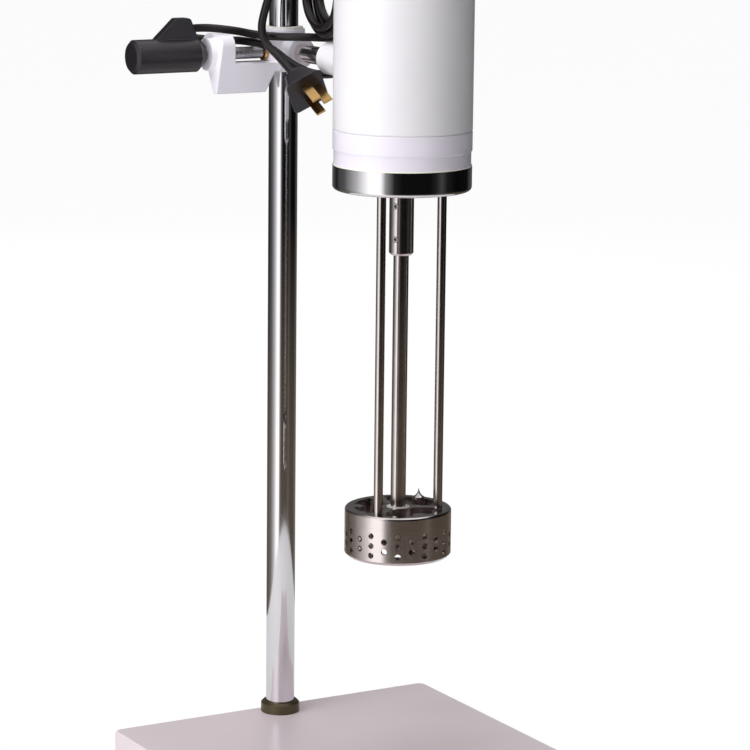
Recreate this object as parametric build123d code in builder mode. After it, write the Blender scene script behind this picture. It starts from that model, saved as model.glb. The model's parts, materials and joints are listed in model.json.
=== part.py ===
"""Rotor stator homogenizer on a column stand.

Millimetres, +Z up. The origin lies under the middle of the base plate, on the surface that the feet
stand on. The back of the stand is towards +Y, and the motor axis is the Z axis when the plate is as
deep as it is now. The parts are written to parts/, one STEP file each.
"""
import math
import os

from build123d import *

os.makedirs("parts", exist_ok=True)

# ---------------------------------------------------------------- driving dimensions
running_fit = 0.03          # radial play of a shaft, pin or liner in its bore
seat_gap = 0.05             # gap between pieces of one assembly that are pressed or screwed together
body_gap = 0.3              # gap between pieces that move past each other

# stand
plate_width = 250.0
plate_depth = 350.0
plate_thick = 14.0
plate_corner = 6.0
plate_edge = 1.5
foot_height = 8.0
foot_radius = 15.0
foot_inset = 30.0
foot_screw_radius = 2.5
foot_screw_head = 4.5
foot_screw_grip = 9.0
column_radius = 10.0
column_height = 700.0
column_setback = 13.0       # from the plate's back edge to the column axis
collar_radius = 13.5
collar_height = 8.0
bolt_radius = 4.0
bolt_head_radius = 6.5
bolt_head_height = 4.5
bolt_grip = 24.0            # length of bolt inside the column
washer_radius = 8.5
washer_thick = 1.5
cap_height = 5.0
cap_spigot_radius = 6.0
cap_spigot_length = 12.0

# clamp
clamp_height = 467.5        # from the plate's top to the axis of the locking screw
bush_wall = 1.5
bush_lip = 1.6
bush_lip_height = 1.5
boss_radius = 14.5
boss_above = 15.5
boss_below = 11.5
jaw_inner = 44.8            # from the column axis to the flat face of the side arm
jaw_top_thick = 8.6
jaw_foot_thick = 14.2
jaw_depth = 31.0
jaw_foot_depth = 4.1        # the casting narrows to this along its lower edge
jaw_above = 13.4
jaw_round = 8.0
bar_top_drop = 6.0
bar_bottom_drop = 25.5
bar_reach = 22.0            # from the column axis to the bar's lower corner
bar_fillet = 2.5
nut_boss_radius = 11.0
nut_boss_face = 59.5        # from the column axis
screw_radius = 4.0
screw_grip = 30.0           # length of the screw inside the knob
pad_radius = 4.5
pad_head_radius = 5.5
pad_head_thick = 2.0
knob_radius = 11.5
knob_length = 54.0
knob_neck_radius = 5.5
knob_neck_length = 6.5
knob_bevel = 2.0
knob_clearance = 1.5        # from the nut boss to the knob
wing_reach = 25.0           # from the knob axis to the wing's tip
wing_foot = 36.4            # length of the wing along the knob
wing_tip_near = 11.5        # from the knob's inner end
wing_tip_far = 22.0
wing_shoulder = 1.5
wing_round = 3.0
wing_thick = 7.0

# arm
reach = 162.0               # from the column axis to the motor axis
arm_radius = 6.0
arm_rise = 1.0              # arm axis above the locking screw
arm_boss_radius = 10.0
arm_boss_length = 12.0
grub_radius = 2.5

# motor
motor_radius = 45.0
ring_height = 16.0
band_height = 23.0
band_step = 10.0            # height of the slightly narrower foot of the band
band_recess = 0.7
body_height = 96.0
head_height = 70.0
cap_dome = 12.0
housing_wall = 4.0
ring_bottom = 392.5         # from the plate's top to the underside of the chrome ring
vent_count = 14
vent_width = 4.0
vent_height = 26.0
flange_thick = 10.0
flange_ledge = 3.0
bracket_length = 51.0
bracket_width = 44.0
bracket_height = 50.0
bracket_thick = 7.0
bracket_boss_radius = 11.0
motor_shaft_radius = 5.0
bearing_radius = 13.0
bearing_width = 8.0
core_height = 50.0
core_rise = 10.0            # from the foot of the motor housing to the field core
bridge_rise = 4.0           # from the foot of the upper housing to the bearing bridge
bridge_thick = 12.0
core_bore = 22.0
air_gap = 0.6
coil_height = 10.0
commutator_radius = 11.0
commutator_height = 18.0
fan_radius = 36.0
fan_height = 8.0
fan_blades = 9
fan_sheet = 1.5
brush_side = 6.0

# controls on the motor's top
dial_radius = 11.0
dial_height = 14.0
dial_offset = 22.0
switch_width = 13.0
switch_length = 19.0
switch_offset = 20.0

# mixing unit
rod_circle = 26.0
rod_radius = 3.0
rod_count = 3
rod_socket = 8.0
rod_seat = 6.0
coupling_radius = 8.0
coupling_length = 43.0
coupling_gap = 2.5          # below the flange
shaft_radius = 5.0
head_radius = 35.0
head_bottom = 151.0         # from the plate's top to the underside of the stator
cage_height = 24.0
cage_wall = 2.5
cage_flange = 2.5
cage_inlet = 20.0
cage_chamfer = 2.0
holder_height = 8.0
holder_wall = 6.0
holder_round = 2.0
rod_boss_radius = 5.5
lug_radius = 4.5
lug_circle = 27.5
spoke_width = 6.0
hub_radius = 10.5
bush_radius = 7.5
hole_radius = 2.0
hole_columns = 24
hole_pitch = 6.5            # between the rows of one column
hole_top_drop = 5.0         # from the cage's shoulder to the first row
rotor_height = 12.5
rotor_hub_radius = 9.5
rotor_gap = 0.4             # between the blade tips and the stator
rotor_blades = 4
blade_thick = 3.0
blade_sweep = math.radians(15)
nut_radius = 6.5
nut_height = 3.5
lug_screw_radius = 1.5
stud_height = 6.5
stud_radius = 3.8

# mains lead
cord_radius = 2.75
boot_length = 22.0
boot_root_radius = 7.0
boot_tip_radius = 4.0
boot_flange_radius = 9.0
boot_flange_thick = 3.0
boot_angle = 70.0          # about the motor axis
boot_height = 44.5          # above the locking screw
hank_radius = 8.0
hank_half_width = 22.0
hank_straight = 60.0
hank_reach = 62.0           # from the column axis
plug_width = 26.0
plug_thick = 27.0
plug_neck_width = 15.0
plug_neck_thick = 14.0
plug_round = 4.0
plug_length = 22.0
plug_neck = 5.0
pin_length = 17.0
pin_width = 6.3
pin_thick = 1.6
pin_spread = 12.7
pin_offset = 7.0            # of the third blade, along the plug's width
tie_width = 4.0
tie_thick = 1.2

# ---------------------------------------------------------------- levels and axes
plate_top = foot_height + plate_thick
column_y = plate_depth / 2 - column_setback
motor_y = column_y - reach
column_top = plate_top + column_height
clamp_z = plate_top + clamp_height
arm_z = clamp_z + arm_rise
ring_z = plate_top + ring_bottom
band_z = ring_z + ring_height
body_z = band_z + band_height
head_z = body_z + body_height
cap_z = head_z + head_height
cage_z = plate_top + head_bottom
shoulder_z = cage_z + cage_height
holder_top = shoulder_z + holder_height
flange_top = band_z
flange_z = flange_top - flange_ledge - flange_thick
coupling_top = flange_z - coupling_gap
coupling_z = coupling_top - coupling_length
rod_angles = [90 + k * 360 / rod_count for k in range(rod_count)]
lug_angles = [angle - 180 / rod_count for angle in rod_angles]


def column_plane(height):
    """The level plane at this height, centred on the column."""
    return Plane((0, column_y, height))


def motor_plane(height):
    """The level plane at this height, centred on the motor and mixer axis."""
    return Plane((0, motor_y, height))


def side_plane(x, z=0.0):
    """A plane square to X through the column, its own x to +Y and its own y to +Z."""
    return Plane(origin=(x, column_y, z), x_dir=(0, 1, 0), z_dir=(1, 0, 0))


def arm_plane(y, z):
    """A plane square to Y, its normal to -Y and its own x to +X."""
    return Plane(origin=(0, y, z), x_dir=(1, 0, 0), z_dir=(0, -1, 0))


def radial_plane(angle, radius, height):
    """A plane square to a ray from the motor axis, its normal outwards and its own y up."""
    out = Vector(math.cos(math.radians(angle)), math.sin(math.radians(angle)), 0)
    origin = Vector(0, motor_y, height) + out * radius
    return Plane(origin=origin, x_dir=out.cross(Vector(0, 0, 1)), z_dir=out)


def save(builder, name):
    """Label a finished piece and write it."""
    builder.part.label = name
    export_step(builder.part, f"parts/{name}.step")


# ---------------------------------------------------------------- stand
foot_spots = GridLocations(plate_width - 2 * foot_inset, plate_depth - 2 * foot_inset, 2, 2)

with BuildPart() as base_plate:
    with BuildSketch(Plane.XY.offset(foot_height)):
        RectangleRounded(plate_width, plate_depth, plate_corner)
    extrude(amount=plate_thick)
    chamfer(base_plate.faces().sort_by(Axis.Z)[-1].edges(), length=plate_edge)
    with BuildSketch(Plane.XY.offset(foot_height)):
        with foot_spots:
            Circle(foot_screw_radius + seat_gap)
    extrude(amount=foot_screw_grip, mode=Mode.SUBTRACT)
    with BuildSketch(column_plane(foot_height)):
        Circle(bolt_radius + seat_gap)
    extrude(amount=plate_thick, mode=Mode.SUBTRACT)
    with BuildSketch(column_plane(foot_height)):
        Circle(washer_radius + body_gap)
    extrude(amount=bolt_head_height + washer_thick, mode=Mode.SUBTRACT)
save(base_plate, "base_plate")

with BuildPart() as base_feet:
    with BuildSketch(Plane.XY):
        with foot_spots:
            Circle(foot_radius)
    extrude(amount=foot_height)
    chamfer(base_feet.faces().group_by(Axis.Z)[0].edges(), length=foot_height / 4)
    with BuildSketch(Plane.XY):
        with foot_spots:
            Circle(foot_screw_head + body_gap)
    extrude(amount=foot_height / 2, mode=Mode.SUBTRACT)
    with BuildSketch(Plane.XY):
        with foot_spots:
            Circle(foot_screw_radius + seat_gap)
    extrude(amount=foot_height, mode=Mode.SUBTRACT)
save(base_feet, "base_feet")

with BuildPart() as foot_screws:
    with BuildSketch(Plane.XY.offset(foot_height / 2)):
        with foot_spots:
            Circle(foot_screw_head)
    extrude(amount=-foot_height / 4)
    with BuildSketch(Plane.XY.offset(foot_height / 2)):
        with foot_spots:
            Circle(foot_screw_radius)
    extrude(amount=foot_height / 2 + foot_screw_grip - seat_gap)
save(foot_screws, "foot_screws")

with BuildPart() as column:
    with BuildSketch(column_plane(plate_top)):
        Circle(column_radius)
    extrude(amount=column_height)
    with BuildSketch(column_plane(plate_top)):
        Circle(bolt_radius + seat_gap)
    extrude(amount=bolt_grip, mode=Mode.SUBTRACT)
    with BuildSketch(column_plane(column_top)):
        Circle(cap_spigot_radius + seat_gap)
    extrude(amount=-cap_spigot_length - seat_gap, mode=Mode.SUBTRACT)
save(column, "column")

with BuildPart() as foot_collar:
    with BuildSketch(column_plane(plate_top)):
        Circle(collar_radius)
        Circle(column_radius + seat_gap, mode=Mode.SUBTRACT)
    extrude(amount=collar_height)
    chamfer(foot_collar.faces().sort_by(Axis.Z)[-1].outer_wire().edges(), length=collar_height / 5)
save(foot_collar, "foot_collar")

with BuildPart() as column_washer:
    with BuildSketch(column_plane(foot_height + bolt_head_height)):
        Circle(washer_radius)
        Circle(bolt_radius + seat_gap, mode=Mode.SUBTRACT)
    extrude(amount=washer_thick)
save(column_washer, "column_washer")

with BuildPart() as column_bolt:
    with BuildSketch(column_plane(foot_height)):
        RegularPolygon(bolt_head_radius, side_count=6)
    extrude(amount=bolt_head_height)
    with BuildSketch(column_plane(foot_height + bolt_head_height)):
        Circle(bolt_radius)
    extrude(amount=plate_thick - bolt_head_height + bolt_grip - seat_gap)
save(column_bolt, "column_bolt")

with BuildPart() as column_cap:
    with BuildSketch(column_plane(column_top)):
        Circle(column_radius)
    extrude(amount=cap_height)
    fillet(column_cap.faces().sort_by(Axis.Z)[-1].edges(), radius=cap_height / 2)
    with BuildSketch(column_plane(column_top)):
        Circle(cap_spigot_radius)
    extrude(amount=-cap_spigot_length)
save(column_cap, "column_cap")

# ---------------------------------------------------------------- clamp on the column
bush_outer = column_radius + running_fit + bush_wall
clamp_bore = bush_outer + running_fit
clamp_plane = Plane(origin=(0, column_y, clamp_z), x_dir=(-1, 0, 0), z_dir=(0, 1, 0))

with BuildPart() as clamp_bush:
    with BuildSketch(column_plane(clamp_z - boss_below)):
        Circle(bush_outer)
    extrude(amount=boss_below + boss_above)
    for level, direction in ((clamp_z + boss_above, 1), (clamp_z - boss_below, -1)):
        with BuildSketch(column_plane(level + direction * seat_gap)):
            Circle(bush_outer + bush_lip)
        extrude(amount=direction * bush_lip_height)
        with BuildSketch(column_plane(level)):
            Circle(bush_outer)
        extrude(amount=direction * (bush_lip_height + seat_gap))
    with BuildSketch(column_plane(clamp_z - 2 * boss_below)):
        Circle(column_radius + running_fit)
    extrude(amount=2 * (boss_below + boss_above), mode=Mode.SUBTRACT)
save(clamp_bush, "clamp_bush")

with BuildPart() as clamp_body:
    with BuildSketch(clamp_plane):
        with BuildLine():
            Polyline(
                (jaw_inner + jaw_foot_thick, -bar_bottom_drop),
                (bar_reach, -bar_bottom_drop),
                (boss_radius + seat_gap, -boss_below),
                (column_radius, -boss_below),
                (column_radius, -bar_top_drop),
                (jaw_inner, -bar_top_drop),
                (jaw_inner, jaw_above),
                (jaw_inner + jaw_top_thick, jaw_above),
                close=True,
            )
        make_face()
    extrude(amount=jaw_depth / 2, both=True)
    with BuildSketch(side_plane(0, clamp_z)) as jaw_side:
        half_depth = jaw_depth / 2
        with BuildLine():
            Polyline(
                (-half_depth, -bar_bottom_drop),
                (-half_depth + jaw_foot_depth, -bar_bottom_drop),
                (half_depth, jaw_above - jaw_round),
                (half_depth, jaw_above),
                (-half_depth, jaw_above),
                close=True,
            )
        make_face()
        fillet(jaw_side.vertices().group_by(Axis.Y)[-1], radius=jaw_round)
    extrude(amount=-2 * jaw_inner, mode=Mode.INTERSECT)
    inner_corner = clamp_body.edges().filter_by(Axis.Y).filter_by_position(
        Axis.X, -jaw_inner - seat_gap, -jaw_inner + seat_gap
    )
    fillet(
        inner_corner.filter_by_position(Axis.Z, clamp_z - boss_below, clamp_z),
        radius=bar_fillet,
    )
    with BuildSketch(column_plane(clamp_z - boss_below)):
        Circle(boss_radius)
    extrude(amount=boss_below + boss_above)
    with BuildSketch(side_plane(-jaw_inner - jaw_top_thick / 2, clamp_z)):
        Circle(nut_boss_radius)
    extrude(amount=jaw_inner + jaw_top_thick / 2 - nut_boss_face)
    arm_boss_root = bush_outer + bush_lip + body_gap
    with BuildSketch(arm_plane(column_y - arm_boss_root, arm_z)):
        Circle(arm_boss_radius)
    extrude(amount=boss_radius - arm_boss_root + arm_boss_length)
    with BuildSketch(column_plane(clamp_z - boss_below)):
        Circle(clamp_bore)
    extrude(amount=boss_below + boss_above, mode=Mode.SUBTRACT)
    with BuildSketch(side_plane(-nut_boss_face, clamp_z)):
        Circle(screw_radius + running_fit)
    extrude(amount=nut_boss_face - jaw_inner, mode=Mode.SUBTRACT)
    with BuildSketch(side_plane(-jaw_inner, clamp_z)):
        Circle(pad_radius + running_fit)
    extrude(amount=jaw_inner, mode=Mode.SUBTRACT)
    with BuildSketch(arm_plane(column_y - clamp_bore, arm_z)):
        Circle(arm_radius + running_fit)
    extrude(amount=boss_radius + arm_boss_length, mode=Mode.SUBTRACT)
    with BuildSketch(Plane((0, column_y - boss_radius - arm_boss_length / 2, arm_z))):
        Circle(grub_radius + seat_gap)
    extrude(amount=-arm_boss_radius, mode=Mode.SUBTRACT)
save(clamp_body, "clamp_body")

pad_face = bush_outer + seat_gap
pad_shoulder = boss_radius + body_gap
pad_back = pad_shoulder + pad_head_thick
screw_tip = pad_back + seat_gap
knob_face = nut_boss_face + knob_clearance

with BuildPart() as lock_pad:
    with BuildSketch(side_plane(-pad_back, clamp_z)):
        Circle(pad_head_radius)
    extrude(amount=pad_head_thick)
    with BuildSketch(side_plane(-pad_shoulder, clamp_z)):
        Circle(pad_radius)
    extrude(amount=pad_shoulder - pad_face)
save(lock_pad, "lock_pad")

with BuildPart() as lock_screw:
    with BuildSketch(side_plane(-screw_tip, clamp_z)):
        Circle(screw_radius)
    extrude(amount=-(knob_face + screw_grip - screw_tip))
    chamfer(lock_screw.faces().sort_by(Axis.X)[-1].edges(), length=screw_radius / 4)
save(lock_screw, "lock_screw")

knob_plane = Plane(origin=(-knob_face, column_y, clamp_z), x_dir=(-1, 0, 0), z_dir=(0, 1, 0))
with BuildPart() as lock_knob:
    with BuildSketch(knob_plane):
        with BuildLine():
            Polyline(
                (0, 0),
                (0, knob_neck_radius),
                (knob_neck_length, knob_radius),
                (knob_length - knob_bevel, knob_radius),
                (knob_length, knob_radius - knob_bevel),
                (knob_length, 0),
                close=True,
            )
        make_face()
    revolve(axis=Axis((0, column_y, clamp_z), (1, 0, 0)))
    with BuildSketch(knob_plane) as wing:
        with BuildLine():
            Polyline(
                (0, 0),
                (wing_foot, 0),
                (wing_foot, knob_radius),
                (wing_tip_far, wing_reach),
                (wing_tip_near, wing_reach),
                (knob_neck_length, knob_radius + wing_shoulder),
                (0, knob_neck_radius),
                close=True,
            )
        make_face()
        fillet(wing.vertices().group_by(Axis.Y)[-1], radius=wing_round)
    extrude(amount=wing_thick / 2, both=True)
    with BuildSketch(side_plane(-knob_face, clamp_z)):
        Circle(screw_radius + seat_gap)
    extrude(amount=-screw_grip - seat_gap, mode=Mode.SUBTRACT)
save(lock_knob, "lock_knob")

# ---------------------------------------------------------------- arm and bracket
bracket_end = motor_y + motor_radius + bracket_length
arm_back = column_y - clamp_bore - body_gap
arm_front = motor_y + motor_radius + bracket_thick
grub_length = arm_boss_radius - arm_radius

with BuildPart() as arm_rod:
    with BuildSketch(arm_plane(arm_back, arm_z)):
        Circle(arm_radius)
    extrude(amount=arm_back - arm_front)
    chamfer(arm_rod.faces().sort_by(Axis.Y)[0].edges(), length=arm_radius / 8)
save(arm_rod, "arm_rod")

with BuildPart() as arm_grub_screws:
    with BuildSketch(Plane((0, column_y - boss_radius - arm_boss_length / 2, arm_z - arm_radius - seat_gap))):
        Circle(grub_radius)
    extrude(amount=-grub_length)
    with BuildSketch(Plane((0, bracket_end - bracket_length / 3, arm_z - arm_radius - seat_gap))):
        Circle(grub_radius)
    extrude(amount=-grub_length)
save(arm_grub_screws, "arm_grub_screws")

with BuildPart() as motor_bracket:
    with BuildSketch(arm_plane(motor_y + motor_radius + bracket_thick, arm_z)):
        RectangleRounded(bracket_width, bracket_height, bracket_thick)
    extrude(amount=bracket_thick + motor_radius / 2)
    with BuildSketch(arm_plane(bracket_end, arm_z)):
        Circle(bracket_boss_radius)
    extrude(amount=bracket_length)
    with BuildSketch(motor_plane(arm_z - bracket_height)):
        Circle(motor_radius + seat_gap)
    extrude(amount=2 * bracket_height, mode=Mode.SUBTRACT)
    with BuildSketch(arm_plane(bracket_end, arm_z)):
        Circle(arm_radius + running_fit)
    extrude(amount=bracket_length - bracket_thick + seat_gap, mode=Mode.SUBTRACT)
    with BuildSketch(Plane((0, bracket_end - bracket_length / 3, arm_z))):
        Circle(grub_radius + seat_gap)
    extrude(amount=-bracket_boss_radius, mode=Mode.SUBTRACT)
save(motor_bracket, "motor_bracket")

# ---------------------------------------------------------------- motor housing
inner_radius = motor_radius - housing_wall
ledge_bore = inner_radius - flange_ledge
bearing_low = band_z + flange_ledge
core_z = body_z + core_rise
core_top = core_z + core_height
bridge_z = head_z + bridge_rise
bearing_high = bridge_z + (bridge_thick - bearing_width) / 2
shaft_clear = motor_shaft_radius + body_gap

with BuildPart() as chrome_ring:
    with BuildSketch(motor_plane(ring_z)):
        Circle(motor_radius)
        Circle(inner_radius, mode=Mode.SUBTRACT)
    extrude(amount=ring_height)
    with BuildSketch(motor_plane(band_z - flange_ledge)):
        Circle(inner_radius + flange_ledge / 3)
        Circle(ledge_bore, mode=Mode.SUBTRACT)
    extrude(amount=flange_ledge)
    fillet(
        chrome_ring.faces().sort_by(Axis.Z)[0].outer_wire().edges(),
        radius=housing_wall * 0.7,
    )
save(chrome_ring, "chrome_ring")

with BuildPart() as flange_plate:
    with BuildSketch(motor_plane(flange_z)):
        Circle(inner_radius - seat_gap)
    extrude(amount=flange_thick - seat_gap)
    with BuildSketch(motor_plane(flange_z)):
        Circle(ledge_bore - seat_gap)
    extrude(amount=flange_thick + flange_ledge - seat_gap)
    chamfer(flange_plate.faces().sort_by(Axis.Z)[0].edges(), length=1)
    with BuildSketch(motor_plane(flange_z)):
        Circle(shaft_clear + 1)
    extrude(amount=flange_thick + flange_ledge, mode=Mode.SUBTRACT)
    with BuildSketch(motor_plane(flange_z)):
        with PolarLocations(rod_circle, rod_count, start_angle=rod_angles[0]):
            Circle(rod_radius + seat_gap)
    extrude(amount=rod_socket, mode=Mode.SUBTRACT)
    with BuildSketch(motor_plane(flange_z)):
        with PolarLocations(rod_circle, rod_count, start_angle=lug_angles[0]):
            Circle(grub_radius + seat_gap)
    extrude(amount=flange_thick + flange_ledge, mode=Mode.SUBTRACT)
save(flange_plate, "flange_plate")

with BuildPart() as flange_screws:
    for angle in lug_angles:
        spot = Plane(radial_plane(angle, rod_circle, flange_z).origin)
        with BuildSketch(spot):
            Circle(grub_radius)
        extrude(amount=flange_thick + 2 * flange_ledge - seat_gap)
        with BuildSketch(spot):
            Circle(grub_radius * 1.8)
        extrude(amount=-grub_radius)
save(flange_screws, "flange_screws")

with BuildPart() as lower_housing:
    with BuildSketch(motor_plane(band_z)):
        Circle(motor_radius - band_recess)
    extrude(amount=band_step)
    with BuildSketch(motor_plane(band_z + band_step)):
        Circle(motor_radius)
    extrude(amount=band_height - band_step)
    chamfer(lower_housing.faces().sort_by(Axis.Z)[-1].edges(), length=band_recess)
    with BuildSketch(motor_plane(band_z + flange_ledge)):
        Circle(inner_radius)
    extrude(amount=band_height, mode=Mode.SUBTRACT)
    with BuildSketch(motor_plane(band_z + flange_ledge)):
        Circle(bearing_radius + housing_wall)
    extrude(amount=bearing_width)
    with BuildSketch(motor_plane(bearing_low)):
        Circle(bearing_radius + seat_gap)
    extrude(amount=bearing_width, mode=Mode.SUBTRACT)
    with BuildSketch(motor_plane(band_z)):
        Circle(shaft_clear + 1)
    extrude(amount=band_height, mode=Mode.SUBTRACT)
    with BuildSketch(motor_plane(band_z)):
        with PolarLocations(rod_circle, rod_count, start_angle=lug_angles[0]):
            Circle(grub_radius + seat_gap)
    extrude(amount=flange_ledge, mode=Mode.SUBTRACT)
save(lower_housing, "lower_housing")

boot_z = clamp_z + boot_height
boot_bore = boot_tip_radius

with BuildPart() as motor_housing:
    with BuildSketch(motor_plane(body_z + seat_gap)):
        Circle(motor_radius)
        Circle(inner_radius, mode=Mode.SUBTRACT)
    extrude(amount=body_height - 2 * seat_gap)
    chamfer(motor_housing.faces().sort_by(Axis.Z)[0].outer_wire().edges(), length=band_recess)
    with BuildSketch(radial_plane(boot_angle, 0, boot_z)):
        Circle(boot_bore + seat_gap)
    extrude(amount=2 * motor_radius, mode=Mode.SUBTRACT)
save(motor_housing, "motor_housing")

with BuildPart() as upper_housing:
    with BuildSketch(motor_plane(head_z)):
        Circle(motor_radius)
        Circle(inner_radius, mode=Mode.SUBTRACT)
    extrude(amount=head_height)
    chamfer(upper_housing.faces().sort_by(Axis.Z)[0].outer_wire().edges(), length=band_recess / 2)
    with BuildSketch(Plane((0, motor_y, cap_z - vent_height))):
        with PolarLocations(motor_radius, vent_count):
            Rectangle(3 * housing_wall, vent_width)
    extrude(amount=-vent_height, mode=Mode.SUBTRACT)
save(upper_housing, "upper_housing")

switch_recess = 4.0
with BuildPart() as top_cap:
    with BuildSketch(Plane(origin=(0, motor_y, cap_z), x_dir=(1, 0, 0), z_dir=(0, -1, 0))):
        with BuildLine():
            Polyline((0, cap_dome), (dial_offset + dial_radius, cap_dome))
            ThreePointArc(
                (dial_offset + dial_radius, cap_dome),
                (motor_radius - cap_dome * 0.3, cap_dome * 0.7),
                (motor_radius, 0),
            )
            Polyline((motor_radius, 0), (0, 0), (0, cap_dome))
        make_face()
    revolve(axis=Axis((0, motor_y, 0), (0, 0, 1)))
    with BuildSketch(motor_plane(cap_z)):
        Circle(inner_radius - seat_gap)
        Circle(inner_radius - housing_wall, mode=Mode.SUBTRACT)
    extrude(amount=-housing_wall)
    with BuildSketch(motor_plane(cap_z)):
        Circle(inner_radius - housing_wall)
    extrude(amount=cap_dome - housing_wall, mode=Mode.SUBTRACT)
    with BuildSketch(Plane((0, motor_y - dial_offset, cap_z))):
        Circle(screw_radius / 2 + running_fit)
    extrude(amount=cap_dome, mode=Mode.SUBTRACT)
    with BuildSketch(Plane((0, motor_y + switch_offset, cap_z))):
        Rectangle(switch_length + 2 * body_gap, switch_width + 2 * body_gap)
    extrude(amount=cap_dome, mode=Mode.SUBTRACT)
save(top_cap, "top_cap")

with BuildPart() as speed_dial:
    with BuildSketch(Plane((0, motor_y - dial_offset, cap_z + cap_dome + body_gap))):
        Circle(dial_radius)
    extrude(amount=dial_height)
    fillet(speed_dial.faces().sort_by(Axis.Z)[-1].edges(), radius=1)
    with BuildSketch(Plane((0, motor_y - dial_offset, cap_z + cap_dome))):
        with PolarLocations(dial_radius, 18):
            Circle(0.8)
    extrude(amount=dial_height / 2, mode=Mode.SUBTRACT)
    with BuildSketch(Plane((0, motor_y - dial_offset, cap_z))):
        Circle(screw_radius / 2)
    extrude(amount=cap_dome + body_gap)
save(speed_dial, "speed_dial")

rocker_z = cap_z + cap_dome - 1.0
with BuildPart() as power_switch:
    with BuildSketch(Plane(origin=(0, motor_y + switch_offset, rocker_z), x_dir=(1, 0, 0), z_dir=(0, -1, 0))):
        with BuildLine():
            rocker_half = switch_length / 2 - body_gap
            Polyline((-rocker_half, -1), (-rocker_half, 1.6))
            ThreePointArc((-rocker_half, 1.6), (0, 2.6), (rocker_half, 1.6))
            Polyline((rocker_half, 1.6), (rocker_half, -1))
            ThreePointArc((rocker_half, -1), (0, -6), (-rocker_half, -1))
        make_face()
    extrude(amount=switch_width / 2 - body_gap, both=True)
save(power_switch, "power_switch")

# ---------------------------------------------------------------- inside the motor
with BuildPart() as field_core:
    with BuildSketch(motor_plane(core_z)):
        Circle(inner_radius - seat_gap)
        Circle(core_bore, mode=Mode.SUBTRACT)
        with PolarLocations((inner_radius + core_bore) / 2, 4, start_angle=45):
            SlotOverall(2 * housing_wall, housing_wall, mode=Mode.SUBTRACT)
    extrude(amount=core_height)
save(field_core, "field_core")

with BuildPart() as field_coils:
    for level in (core_top + seat_gap, core_z - seat_gap - coil_height):
        with BuildSketch(motor_plane(level)):
            Circle(inner_radius - housing_wall)
            Circle(core_bore + housing_wall / 2, mode=Mode.SUBTRACT)
        extrude(amount=coil_height)
save(field_coils, "field_coils")

with BuildPart() as bearing_bridge:
    with BuildSketch(motor_plane(bridge_z)):
        Circle(inner_radius - seat_gap)
        Circle(inner_radius - housing_wall, mode=Mode.SUBTRACT)
        Rectangle(2 * (inner_radius - housing_wall), 2 * bearing_radius)
        Circle(bearing_radius + housing_wall)
        Circle(shaft_clear + 1, mode=Mode.SUBTRACT)
    extrude(amount=bridge_thick)
    with BuildSketch(motor_plane(bearing_high)):
        Circle(bearing_radius + seat_gap)
    extrude(amount=bridge_thick, mode=Mode.SUBTRACT)
save(bearing_bridge, "bearing_bridge")

with BuildPart() as bearings:
    for level in (bearing_low, bearing_high):
        with BuildSketch(motor_plane(level)):
            Circle(bearing_radius)
            Circle(motor_shaft_radius + running_fit, mode=Mode.SUBTRACT)
        extrude(amount=bearing_width)
save(bearings, "bearings")

commutator_z = bridge_z - commutator_height - housing_wall
brush_z = commutator_z + commutator_height / 2
brush_start = commutator_radius + body_gap
with BuildPart() as brush_holders:
    for angle in (0, 180):
        with BuildSketch(radial_plane(angle, brush_start + 1, brush_z)):
            Rectangle(brush_side + 3, brush_side + 3)
            Rectangle(brush_side + 2 * seat_gap, brush_side + 2 * seat_gap, mode=Mode.SUBTRACT)
        extrude(amount=inner_radius - seat_gap - brush_start - 2)
save(brush_holders, "brush_holders")

with BuildPart() as brushes:
    for angle in (0, 180):
        with BuildSketch(radial_plane(angle, brush_start, brush_z)):
            Rectangle(brush_side, brush_side)
        extrude(amount=(inner_radius - brush_start) / 2)
save(brushes, "brushes")

# ---------------------------------------------------------------- spinning train
with BuildPart() as motor_shaft:
    with BuildSketch(motor_plane(coupling_top - coupling_length / 2 + 1)):
        Circle(motor_shaft_radius)
    extrude(amount=bearing_high + bearing_width - coupling_top + coupling_length / 2 + 1)
save(motor_shaft, "motor_shaft")

with BuildPart() as armature:
    with BuildSketch(motor_plane(core_z)):
        Circle(core_bore - air_gap)
        Circle(motor_shaft_radius + seat_gap, mode=Mode.SUBTRACT)
        with PolarLocations(core_bore - air_gap, 12):
            Rectangle(housing_wall, 1.5, mode=Mode.SUBTRACT)
    extrude(amount=core_height)
save(armature, "armature")

with BuildPart() as commutator:
    with BuildSketch(motor_plane(commutator_z)):
        Circle(commutator_radius)
        Circle(motor_shaft_radius + seat_gap, mode=Mode.SUBTRACT)
    extrude(amount=commutator_height)
save(commutator, "commutator")

fan_z = bearing_low + bearing_width + body_gap
fan_blade_root = motor_shaft_radius + housing_wall / 2
fan_blade_tip = fan_radius - fan_sheet
with BuildPart() as fan:
    with BuildSketch(motor_plane(fan_z)):
        Circle(fan_radius)
        Circle(motor_shaft_radius + seat_gap, mode=Mode.SUBTRACT)
    extrude(amount=fan_sheet)
    with BuildSketch(motor_plane(fan_z)):
        Circle(motor_shaft_radius + housing_wall)
        Circle(motor_shaft_radius + seat_gap, mode=Mode.SUBTRACT)
        with PolarLocations((fan_blade_root + fan_blade_tip) / 2, fan_blades):
            Rectangle(fan_blade_tip - fan_blade_root, fan_sheet)
    extrude(amount=fan_height)
save(fan, "fan")

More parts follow.
